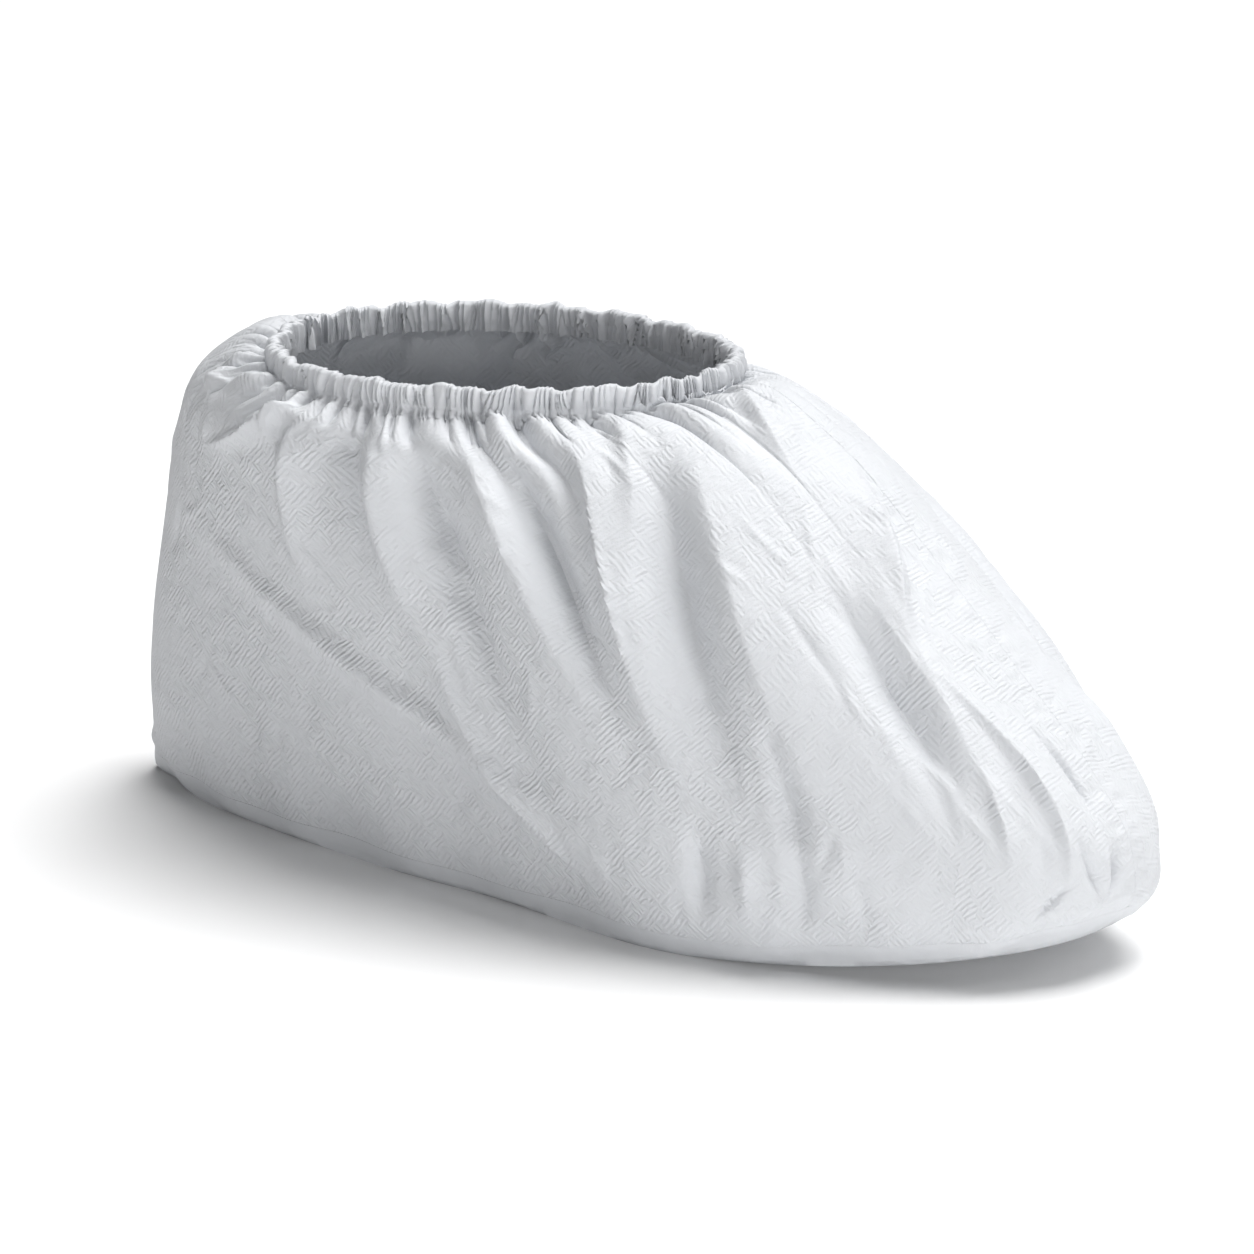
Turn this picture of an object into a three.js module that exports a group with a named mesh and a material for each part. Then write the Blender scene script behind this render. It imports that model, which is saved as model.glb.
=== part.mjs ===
// A disposable shoe cover in the shape that it takes over a right shoe: two side panels of thin
// nonwoven cloth, seamed along the heel and along the instep and toe, an upturned sole panel, and
// a gathered casing with elastic inside that closes round the ankle.
// Millimetres. +X points to the toe, +Y to the inner side of the foot, +Z up, the floor is z = 0.
import * as THREE from 'three';

// ---- driving dimensions ----
const LENGTH = 323; // heel to toe, over the cloth
const CENTRE_Y = -0.6; // middle of the width, from the heel's centre line
const WALL = 1.2; // cloth with the air trapped in its folds
const GAP = 0.3; // between neighbouring pieces
const SOLE_GAP = 0.45; // measured straight down, so that it is 0.3 square to the sloping cloth
const TOE_LIFT = 13; // the toe tip stands off the floor
const TOE_LIFT_START = 205; // along the sole, from the heel
const TOE_LEAN = 10; // the toe tip leans to the inner side
const TOE_LEAN_START = 110;
const INNER_SIDE = 0.93; // the inner side is this much slimmer than the outer
const SOLE_LEVEL = 0.95; // level at which the side panels meet the sole panel
const SEAM_ALLOWANCE = 5; // turned inwards along the heel and the instep
const SEAM_FLAT = 7; // the folds die out this near a seam
const TUCK_BACK = -2.8; // how far back the flat tuck low on the heel seam stands
const TUCK_TOP = 0.925; // its level
const TUCK_WIDTH = 0.058; // in along
const COLLAR_HEIGHT = 8;
const COLLAR_THICKNESS = 3;
const COLLAR_INSET = 1.4; // its middle lies inside the panels' top edge
const COLLAR_RIPPLE = 0.8; // depth of the gathers in the casing
const COLLAR_RIPPLES = 88;
const GATHER_DEPTH = 2.4; // depth of the pleats just under the casing
const GATHERS = 24; // pleats on each side
const GATHER_REACH = 0.13; // level at which a pleat has mostly died out
const PANEL_COLUMNS = 48; // cells from heel seam to toe seam
const LEVELS = [0, 0.03, 0.06, 0.1, 0.14, 0.19, 0.24, 0.3, 0.36, 0.42, 0.48, 0.54, 0.6, 0.66,
  0.72, 0.78, 0.84, 0.9, 0.95]; // rows of a side panel
const NARROWEST_FLANK = 9; // a fold's side is never narrower than a column of cells

function table(names, rows) {
  return rows.map((row) => Object.fromEntries(names.map((name, k) => [name, row[k]])));
}

// ---- form ----
// Each ring runs round the cover at one level, from the casing (0) down to the sole's edge (1).
// back and front are its ends along the sole, backZ and frontZ their heights, dip how far it
// hangs between them, heel, waist and ball its half widths along the foot, and round how full
// its two ends are (1 is an ellipse).
const RINGS = table(
  ['level', 'back', 'front', 'backZ', 'frontZ', 'dip', 'heel', 'waist', 'ball', 'round'],
  [
    [0.00, 47, 191, 131, 140, 0, 52, 50, 48, 1.00],
    [0.06, 40, 203, 138, 146, 11, 57, 56, 54, 1.00],
    [0.16, 22, 227, 129, 135, 7, 60, 59, 58, 0.97],
    [0.32, 11, 256, 105, 110, 2, 57, 59, 62, 0.92],
    [0.50, 5, 284, 76, 81, 0, 53, 57, 66, 0.86],
    [0.68, 0, 309, 47, 52, 0, 50, 54, 67, 0.82],
    [0.84, -1.5, 323, 22, 25, 0, 46, 51, 66, 0.80],
    [0.95, 2, 322, 6, 7, 0, 42, 46, 62, 0.79],
    [1.00, 7, 315, 0, 0, 0, 40, 43, 58, 0.78],
  ],
);

// ---- folds ----
// A fold is a ridge (rise above 0) or a valley (below 0). It starts at level top, is deepest at
// level peak and ends at level foot. along0, along1 and along2 say where its line lies at the
// top, halfway and at the foot, from the heel seam (0) to the toe seam (1). behind and ahead are
// the widths of its two flanks, and crisp goes from a soft roll (0) to a sharp crease (1).
const FOLD_COLUMNS = ['top', 'peak', 'foot', 'along0', 'along1', 'along2', 'rise', 'behind',
  'ahead', 'crisp'];
const OUTER_FOLDS = table(FOLD_COLUMNS, [
  // heel shoulder pleats, each lapping over the one behind it
  [0.00, 0.09, 0.16, 0.375, 0.362, 0.330, 4.0, 3, 16, 0.8],
  [0.01, 0.15, 0.29, 0.315, 0.338, 0.215, 5.2, 4, 17, 0.8],
  [0.02, 0.10, 0.22, 0.130, 0.195, 0.260, 2.8, 6, 6, 0.9],
  [0.00, 0.07, 0.18, 0.250, 0.235, 0.150, 2.8, 4, 12, 0.7],
  // folds that fall from the casing over the quarter
  [0.02, 0.22, 0.54, 0.420, 0.380, 0.375, 4.8, 8, 16, 0.6],
  [0.02, 0.18, 0.50, 0.455, 0.448, 0.450, -3.8, 7, 12, 0.6],
  [0.03, 0.26, 0.60, 0.505, 0.473, 0.478, 5.0, 11, 12, 0.5],
  [0.04, 0.34, 0.80, 0.543, 0.518, 0.548, -7.6, 10, 18, 0.8],
  [0.04, 0.30, 0.66, 0.590, 0.587, 0.611, 5.4, 13, 11, 0.6],
  [0.05, 0.30, 0.68, 0.628, 0.617, 0.622, -6.6, 9, 9, 0.7],
  [0.04, 0.30, 0.78, 0.715, 0.652, 0.650, 7.4, 7, 16, 0.95],
  [0.02, 0.13, 0.36, 0.790, 0.724, 0.672, 3.8, 6, 10, 0.9],
  [0.02, 0.10, 0.20, 1.000, 0.929, 0.905, 3.0, 4, 7, 0.9],
  [0.07, 0.12, 0.18, 1.000, 0.958, 0.915, 2.4, 7, 8, 0.8],
  // the broad valley and the flat plane beside the instep
  [0.05, 0.38, 0.80, 0.790, 0.703, 0.678, -6.8, 15, 11, 0.4],
  [0.06, 0.42, 0.84, 0.827, 0.745, 0.752, 8.4, 15, 40, 0.6],
  [0.54, 0.70, 0.85, 0.727, 0.713, 0.700, -4.2, 6, 8, 0.7],
  [0.33, 0.54, 0.75, 0.846, 0.848, 0.830, -6.8, 10, 9, 0.75],
  [0.33, 0.52, 0.74, 0.898, 0.888, 0.862, 2.8, 7, 12, 0.6],
  [0.16, 0.34, 0.50, 1.010, 0.938, 0.870, 6.4, 18, 5, 0.95],
  // toe creases beside the seam
  [0.45, 0.70, 0.92, 0.884, 0.928, 0.902, 3.6, 3, 13, 0.9],
  [0.60, 0.73, 0.84, 0.884, 0.874, 0.858, 2.6, 3, 7, 0.95],
  // long soft roll from the heel down to the ball, and the wrinkles over the ball
  [0.38, 0.64, 0.90, 0.180, 0.440, 0.575, 3.4, 24, 16, 0.3],
  [0.46, 0.69, 0.89, 0.482, 0.497, 0.562, 4.2, 13, 7, 0.8],
  [0.70, 0.83, 0.93, 0.648, 0.637, 0.630, -3.2, 4, 9, 0.8],
  [0.74, 0.82, 0.93, 0.672, 0.668, 0.660, 2.2, 6, 6, 0.6],
  [0.76, 0.84, 0.94, 0.705, 0.700, 0.700, -2.2, 5, 7, 0.7],
  // the pinch low on the heel
  [0.88, 0.925, 0.95, 0.045, 0.050, 0.055, 2.4, 8, 10, 0.7],
]);
const INNER_FOLDS = table(FOLD_COLUMNS, [
  // heel shoulder pleats
  [0.03, 0.14, 0.30, 0.34, 0.25, 0.13, 3.6, 5, 15, 0.6],
  [0.03, 0.12, 0.24, 0.22, 0.15, 0.07, 2.6, 6, 10, 0.5],
  // folds that fall from the casing over the quarter
  [0.05, 0.25, 0.56, 0.36, 0.33, 0.36, 3.6, 11, 9, 0.5],
  [0.06, 0.28, 0.60, 0.40, 0.38, 0.41, -3.4, 9, 9, 0.2],
  [0.05, 0.28, 0.62, 0.44, 0.44, 0.49, 4.1, 11, 10, 0.5],
  [0.06, 0.24, 0.50, 0.49, 0.50, 0.53, -3.1, 9, 9, 0.3],
  [0.04, 0.22, 0.44, 0.545, 0.55, 0.585, 3.6, 9, 9, 0.7],
  [0.05, 0.20, 0.42, 0.59, 0.61, 0.635, -2.6, 8, 8, 0.4],
  // the long crease over the waist and the valley before it
  [0.28, 0.46, 0.94, 0.62, 0.665, 0.70, 4.6, 10, 15, 0.8],
  [0.22, 0.50, 0.84, 0.68, 0.715, 0.735, -4.1, 12, 12, 0.3],
  [0.04, 0.22, 0.42, 0.655, 0.665, 0.66, 3.1, 10, 9, 0.7],
  // the instep roll, its valley and the toe creases beside the seam
  [0.04, 0.44, 0.84, 0.76, 0.81, 0.84, 4.1, 12, 14, 0.5],
  [0.10, 0.46, 0.78, 0.83, 0.865, 0.88, -3.8, 10, 10, 0.3],
  [0.50, 0.66, 0.90, 0.91, 0.93, 0.90, 3.1, 5, 12, 0.7],
  // soft roll from the heel, and the wrinkles over the ball
  [0.40, 0.60, 0.88, 0.05, 0.32, 0.52, 2.9, 24, 22, 0.2],
  [0.70, 0.80, 0.93, 0.775, 0.785, 0.79, -2.4, 7, 8, 0.5],
  [0.34, 0.40, 0.48, 0.50, 0.60, 0.68, 2.2, 14, 14, 0.8],
]);

// ---- shape functions ----
function ease(u) {
  const v = THREE.MathUtils.clamp(u, 0, 1);
  return v * v * (3 - 2 * v);
}

// A smooth curve through one column of the ring table.
function ringValue(name, level) {
  const last = RINGS.length - 1;
  let k = 0;
  while (k < last - 1 && level > RINGS[k + 1].level) k += 1;
  const slope = (a, b) => (RINGS[b][name] - RINGS[a][name]) / (RINGS[b].level - RINGS[a].level);
  const tangent = (i) => {
    if (i === 0) return slope(0, 1);
    if (i === last) return slope(last - 1, last);
    const before = RINGS[i].level - RINGS[i - 1].level;
    const after = RINGS[i + 1].level - RINGS[i].level;
    return (slope(i - 1, i) * after + slope(i, i + 1) * before) / (before + after);
  };
  const h = RINGS[k + 1].level - RINGS[k].level;
  const u = (level - RINGS[k].level) / h;
  return (2 * u ** 3 - 3 * u ** 2 + 1) * RINGS[k][name] + (u ** 3 - 2 * u ** 2 + u) * h * tangent(k)
    + (3 * u ** 2 - 2 * u ** 3) * RINGS[k + 1][name] + (u ** 3 - u ** 2) * h * tangent(k + 1);
}

function ringAt(level) {
  const names = ['back', 'front', 'backZ', 'frontZ', 'dip', 'heel', 'waist', 'ball', 'round'];
  return Object.fromEntries(names.map((name) => [name, ringValue(name, level)]));
}

// The smooth form without folds: side is -1 outer or 1 inner, along 0 heel seam to 1 toe seam.
function form(side, along, level) {
  const ring = ringAt(level);
  const angle = Math.PI * along;
  const share = (1 - Math.cos(angle)) / 2;
  const tuck = Math.exp(-(((1 - level) / (1 - TUCK_TOP)) ** 4))
    * Math.exp(-((along / TUCK_WIDTH) ** 4));
  const smooth = ring.back + (ring.front - ring.back) * share;
  const x = smooth + (TUCK_BACK - smooth) * tuck;
  const halfWidth = ring.heel + (ring.waist - ring.heel) * ease((share - 0.12) / 0.3)
    + (ring.ball - ring.waist) * ease((share - 0.42) / 0.28);
  const slim = side > 0 ? INNER_SIDE : 1;
  const towardsToe = (start) => THREE.MathUtils.clamp((x - start) / (LENGTH - start), 0, 1);
  const lean = TOE_LEAN * towardsToe(TOE_LEAN_START) ** 1.6;
  const lift = TOE_LIFT * level ** 2 * towardsToe(TOE_LIFT_START) ** 2;
  return new THREE.Vector3(
    x - LENGTH / 2,
    side * (halfWidth * slim * Math.sin(angle) ** ring.round + GAP / 2) + lean - CENTRE_Y,
    ring.backZ + (ring.frontZ - ring.backZ) * share - ring.dip * Math.sin(angle) + lift,
  );
}

// Outward normal and stretch (millimetres per unit of along) of the smooth form.
function formFrame(side, along, level) {
  const step = 1e-3;
  const a0 = Math.max(along - step, 0);
  const a1 = Math.min(along + step, 1);
  const l0 = Math.max(level - step, 0);
  const l1 = Math.min(level + step, 1);
  const tangent = form(side, a1, level).sub(form(side, a0, level)).divideScalar(a1 - a0);
  const stretch = tangent.length();
  if (a0 === 0) tangent.set(0, side, 0); // the ring crosses the seams square on
  if (a1 === 1) tangent.set(0, -side, 0);
  const down = form(side, along, l1).sub(form(side, along, l0));
  const normal = new THREE.Vector3().crossVectors(tangent, down).multiplyScalar(side).normalize();
  return { normal, stretch };
}

function foldHeight(fold, along, level, stretch) {
  if (level <= fold.top || level >= fold.foot) return 0;
  const run = level < fold.peak
    ? (level - fold.top) / (fold.peak - fold.top)
    : (fold.foot - level) / (fold.foot - fold.peak);
  const w = (level - fold.top) / (fold.foot - fold.top);
  const line = fold.along0 * (1 - w) * (1 - 2 * w) + fold.along1 * 4 * w * (1 - w)
    + fold.along2 * w * (2 * w - 1);
  const offset = (along - line) * stretch;
  const flank = Math.max(offset < 0 ? fold.behind : fold.ahead, NARROWEST_FLANK);
  const near = 1 - Math.min(Math.abs(offset) / flank, 1);
  return fold.rise * ease(run) * ((1 - fold.crisp) * ease(near) + fold.crisp * near ** 1.6);
}

// Pleats that the elastic draws up just under the casing.
function gatherHeight(along, level) {
  const drift = 0.012 * Math.sin(6 * Math.PI * along + 1) + 0.006 * Math.sin(14 * Math.PI * along);
  const wave = Math.cos(2 * Math.PI * GATHERS * along);
  const slowWave = Math.cos(Math.PI * GATHERS * (along + drift));
  const short = Math.exp(-((level / (0.5 * GATHER_REACH)) ** 2));
  const long = Math.exp(-((level / (1.3 * GATHER_REACH)) ** 2));
  return ease(level / 0.03) * GATHER_DEPTH * (0.6 * wave * short + 0.7 * slowWave * long);
}

// A point of the cloth's outer face, with its outward direction.
function cloth(side, along, level) {
  const { normal, stretch } = formFrame(side, along, level);
  const folds = side < 0 ? OUTER_FOLDS : INNER_FOLDS;
  const height = folds.reduce((sum, fold) => sum + foldHeight(fold, along, level, stretch), 0);
  const seamFade = ease(Math.min(along, 1 - along) * stretch / SEAM_FLAT);
  const soleFade = ease((SOLE_LEVEL - level) / 0.06);
  const rise = (height * soleFade + gatherHeight(along, level)) * seamFade;
  return { point: form(side, along, level).addScaledVector(normal, rise), normal };
}

// ---- meshes ----
// Joins an outer and an inner grid of points into one closed shell. Rims are added along the
// named edges; the grid is taken to close on itself along the others.
function shell(outer, inner, rims) {
  const key = (p) => `${p.x.toFixed(4)} ${p.y.toFixed(4)} ${p.z.toFixed(4)}`;
  const index = new Map();
  const positions = [];
  const triangles = [];
  const vertex = (p) => {
    const k = key(p);
    if (!index.has(k)) {
      index.set(k, positions.length / 3);
      positions.push(p.x, p.y, p.z);
    }
    return index.get(k);
  };
  const triangle = (a, b, c) => {
    const t = [vertex(a), vertex(b), vertex(c)];
    if (t[0] !== t[1] && t[1] !== t[2] && t[2] !== t[0]) triangles.push(...t);
  };
  const quad = (a, b, c, d) => {
    if (a.distanceTo(c) <= b.distanceTo(d)) {
      triangle(a, b, c);
      triangle(a, c, d);
    } else {
      triangle(a, b, d);
      triangle(b, c, d);
    }
  };
  const rows = outer.length - 1;
  const columns = outer[0].length - 1;
  for (let i = 0; i < rows; i += 1) {
    for (let j = 0; j < columns; j += 1) {
      quad(outer[i][j], outer[i + 1][j], outer[i + 1][j + 1], outer[i][j + 1]);
      quad(inner[i][j], inner[i][j + 1], inner[i + 1][j + 1], inner[i + 1][j]);
    }
  }
  for (let i = 0; i < rows; i += 1) {
    if (rims.includes('first column')) {
      quad(outer[i][0], inner[i][0], inner[i + 1][0], outer[i + 1][0]);
    }
    if (rims.includes('last column')) {
      quad(outer[i + 1][columns], inner[i + 1][columns], inner[i][columns], outer[i][columns]);
    }
  }
  for (let j = 0; j < columns; j += 1) {
    if (rims.includes('first row')) {
      quad(outer[0][j + 1], inner[0][j + 1], inner[0][j], outer[0][j]);
    }
    if (rims.includes('last row')) {
      quad(outer[rows][j], inner[rows][j], inner[rows][j + 1], outer[rows][j + 1]);
    }
  }
  const geometry = new THREE.BufferGeometry();
  geometry.setAttribute('position', new THREE.Float32BufferAttribute(positions, 3));
  geometry.setIndex(triangles);
  if (volume(geometry) < 0) {
    for (let k = 0; k < triangles.length; k += 3) {
      [triangles[k], triangles[k + 1]] = [triangles[k + 1], triangles[k]];
    }
    geometry.setIndex(triangles);
  }
  geometry.computeVertexNormals();
  return geometry;
}

function volume(geometry) {
  const position = geometry.getAttribute('position');
  const order = geometry.getIndex();
  const corner = (k) => new THREE.Vector3().fromBufferAttribute(position, order.getX(k));
  let sum = 0;
  for (let k = 0; k < order.count; k += 3) {
    sum += corner(k).dot(corner(k + 1).cross(corner(k + 2))) / 6;
  }
  return sum;
}

// ---- pieces ----
// One side panel. Its two seam allowances are turned inwards and lie face to face with the
// other panel's. Each row of points runs from heel to toe, allowance to allowance.
function sidePanel(side) {
  const outer = [];
  const inner = [];
  for (const level of LEVELS) {
    const outerRow = [];
    const innerRow = [];
    for (let k = 0; k <= PANEL_COLUMNS; k += 1) {
      const { point, normal } = cloth(side, k / PANEL_COLUMNS, level);
      const inside = point.clone().addScaledVector(normal, -WALL);
      const atSeam = k === 0 || k === PANEL_COLUMNS;
      if (atSeam) {
        const clear = new THREE.Vector3(0, side * WALL, 0);
        const tip = point.clone().addScaledVector(normal, -SEAM_ALLOWANCE);
        const corner = inside.clone().add(clear);
        const pairs = [[tip, tip.clone().add(clear)], [point, corner]];
        if (k > 0) pairs.reverse();
        for (const [outside, lining] of pairs) {
          outerRow.push(outside);
          innerRow.push(lining);
        }
      } else {
        outerRow.push(point);
        innerRow.push(inside);
      }
    }
    outer.push(outerRow);
    inner.push(innerRow);
  }
  return shell(outer, inner, ['first row', 'last row', 'first column', 'last column']);
}

// The sole panel: a flat bottom whose edge turns up to the side panels all round.
function solePanel() {
  const lipLevels = [SOLE_LEVEL, (SOLE_LEVEL + 1) / 2, 1];
  const outer = [];
  const inner = [];
  for (let k = 0; k <= PANEL_COLUMNS; k += 1) {
    const along = k / PANEL_COLUMNS;
    const outerRow = [];
    const innerRow = [];
    const edge = [-1, 1].map((side) => lipLevels.map((level) => {
      const { point, normal } = cloth(side, along, level);
      point.y -= side * GAP / 2;
      if (level === SOLE_LEVEL) point.z -= SOLE_GAP;
      const inside = point.clone().addScaledVector(normal, -WALL);
      if (level === 1) inside.z = point.z + WALL;
      return { point, inside };
    }));
    const [outerEdge, innerEdge] = edge;
    const across = [...outerEdge, null, ...innerEdge.reverse()];
    for (const at of across) {
      const { point, inside } = at ?? {
        point: outerEdge[2].point.clone().lerp(innerEdge[0].point, 0.5),
        inside: outerEdge[2].inside.clone().lerp(innerEdge[0].inside, 0.5),
      };
      outerRow.push(point);
      innerRow.push(inside);
    }
    outer.push(outerRow);
    inner.push(innerRow);
  }
  return shell(outer, inner, ['first column', 'last column']);
}

// The casing: a closed ring that stands on the panels' top edge, rippled by its elastic.
function elasticCollar() {
  const steps = COLLAR_RIPPLES;
  const section = [
    [0.5, 0], [1, 0.5], [0.5, 1], [-0.5, 1], [-1, 0.5], [-0.5, 0],
  ]; // share of half the thickness outwards, share of the height
  const loop = [];
  for (let k = 0; k <= 2 * steps; k += 1) {
    const turn = (k % (2 * steps)) / steps;
    const side = turn <= 1 ? -1 : 1;
    const along = turn <= 1 ? turn : 2 - turn;
    const { normal } = formFrame(side, along, 0.1);
    const outward = new THREE.Vector3(normal.x, normal.y, 0).normalize();
    const ripple = k % 2 === 0 ? COLLAR_RIPPLE / 2 : -COLLAR_RIPPLE / 2;
    const foot = form(side, along, 0);
    if (along === 0 || along === 1) foot.y -= side * GAP / 2;
    foot.addScaledVector(outward, -COLLAR_INSET);
    foot.z += GAP;
    loop.push(section.map(([out, up]) => foot.clone()
      .addScaledVector(outward, out * COLLAR_THICKNESS / 2 + ripple)
      .add(new THREE.Vector3(0, 0, up * COLLAR_HEIGHT))));
  }
  return closedRing(loop);
}

// A tube whose sections follow each other round a closed loop.
function closedRing(loop) {
  const sides = loop[0].length;
  const rings = loop.length - 1;
  const positions = [];
  const triangles = [];
  for (let i = 0; i < rings; i += 1) {
    for (const p of loop[i]) positions.push(p.x, p.y, p.z);
  }
  for (let i = 0; i < rings; i += 1) {
    for (let j = 0; j < sides; j += 1) {
      const a = i * sides + j;
      const b = i * sides + (j + 1) % sides;
      const c = ((i + 1) % rings) * sides + (j + 1) % sides;
      const d = ((i + 1) % rings) * sides + j;
      triangles.push(a, c, b, a, d, c);
    }
  }
  const geometry = new THREE.BufferGeometry();
  geometry.setAttribute('position', new THREE.Float32BufferAttribute(positions, 3));
  geometry.setIndex(triangles);
  if (volume(geometry) < 0) {
    for (let k = 0; k < triangles.length; k += 3) {
      [triangles[k], triangles[k + 1]] = [triangles[k + 1], triangles[k]];
    }
    geometry.setIndex(triangles);
  }
  geometry.computeVertexNormals();
  return geometry;
}

// ---- assembly ----
function piece(name, geometry, color, roughness) {
  const material = new THREE.MeshStandardMaterial({ color, roughness, metalness: 0 });
  const mesh = new THREE.Mesh(geometry, material);
  mesh.name = name;
  return mesh;
}

const shoeCover = new THREE.Group();
shoeCover.add(piece('outer_side_panel', sidePanel(-1), 0xe9ebee, 0.72));
shoeCover.add(piece('inner_side_panel', sidePanel(1), 0xe9ebee, 0.72));
shoeCover.add(piece('sole_panel', solePanel(), 0xe2e4e8, 0.65));
shoeCover.add(piece('elastic_collar', elasticCollar(), 0xdfe1e5, 0.75));

export default shoeCover;
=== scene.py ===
# A disposable shoe cover in the shape that it takes over a right shoe: two side panels of thin
# embossed nonwoven cloth, an upturned sole panel of smoother cloth, and a gathered casing round
# the ankle. +X is the toe, +Y the inner side of the foot, +Z up, and the floor is z = 0.
import math

import bmesh
import bpy
import numpy as np
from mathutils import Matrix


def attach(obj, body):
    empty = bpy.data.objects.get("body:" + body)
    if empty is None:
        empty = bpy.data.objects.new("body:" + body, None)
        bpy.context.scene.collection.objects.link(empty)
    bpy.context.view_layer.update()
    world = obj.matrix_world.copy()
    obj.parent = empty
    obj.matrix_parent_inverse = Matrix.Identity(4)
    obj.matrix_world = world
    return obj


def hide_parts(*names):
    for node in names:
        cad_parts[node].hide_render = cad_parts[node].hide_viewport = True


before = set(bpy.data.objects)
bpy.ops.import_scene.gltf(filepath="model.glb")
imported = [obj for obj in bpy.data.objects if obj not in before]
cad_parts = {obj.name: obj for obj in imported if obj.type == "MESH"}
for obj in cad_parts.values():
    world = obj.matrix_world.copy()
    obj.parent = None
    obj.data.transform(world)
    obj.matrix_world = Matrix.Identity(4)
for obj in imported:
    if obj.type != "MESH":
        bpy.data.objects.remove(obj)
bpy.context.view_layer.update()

# ---- Side panels -------------------------------------------------------------------------
# Each panel is one piece of white polypropylene nonwoven, soft but papery, so it folds in long
# tapering ridges with nearly flat planes between them. It is seamed to its twin along the heel,
# the instep and the toe with the allowances turned in, and the ankle elastic draws up its top.
mm = 0.001  # shapes are worked out in millimetres
outer, inner = -1, 1  # the two sides, by the sign of their y
length = 323  # heel to toe over the cloth
centre_y = -0.6
toe_lift, toe_lift_start = 13, 205
toe_lean, toe_lean_start, toe_lean_power = 10, 110, 1.6  # towards the inner side
inner_slimness = 0.93  # the inner side's width, as a share of the outer's
waist_start, waist_run = 0.12, 0.3  # where the heel's width turns into the waist's
ball_start, ball_run = 0.42, 0.28  # and the waist's into the ball's
tuck_back, tuck_top, tuck_width, tuck_edge = -2.8, 0.925, 0.058, 4  # a flat tuck low on the heel
seam_gap = 0.05
cloth_thickness = 0.35
sole_level = 0.95  # where the sole's turned-up edge meets the panels

# A row for each level, from 0 at the casing's foot to 1 at the sole's outline: where it starts
# and ends, its heights there, the dip of its sides between them, its half widths, and how round
# its outline is, 1 for an oval and less for a squarer one.
ring_columns = ("level", "back", "front", "back_z", "front_z", "dip", "heel", "waist", "ball",
                "round")
rings = dict(zip(ring_columns, np.array([
    [0.00, 47, 191, 131, 140, 0, 52, 50, 48, 1.00],
    [0.06, 40, 203, 138, 146, 11, 57, 56, 54, 1.00],
    [0.16, 22, 227, 129, 135, 7, 60, 59, 58, 0.97],
    [0.32, 11, 256, 105, 110, 2, 57, 59, 62, 0.92],
    [0.50, 5, 284, 76, 81, 0, 53, 57, 66, 0.86],
    [0.68, 0, 309, 47, 52, 0, 50, 54, 67, 0.82],
    [0.84, -1.5, 323, 22, 25, 0, 46, 51, 66, 0.80],
    [0.95, 2, 322, 6, 7, 0, 42, 46, 62, 0.79],
    [1.00, 7, 315, 0, 0, 0, 40, 43, 58, 0.78],
]).T))

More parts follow.
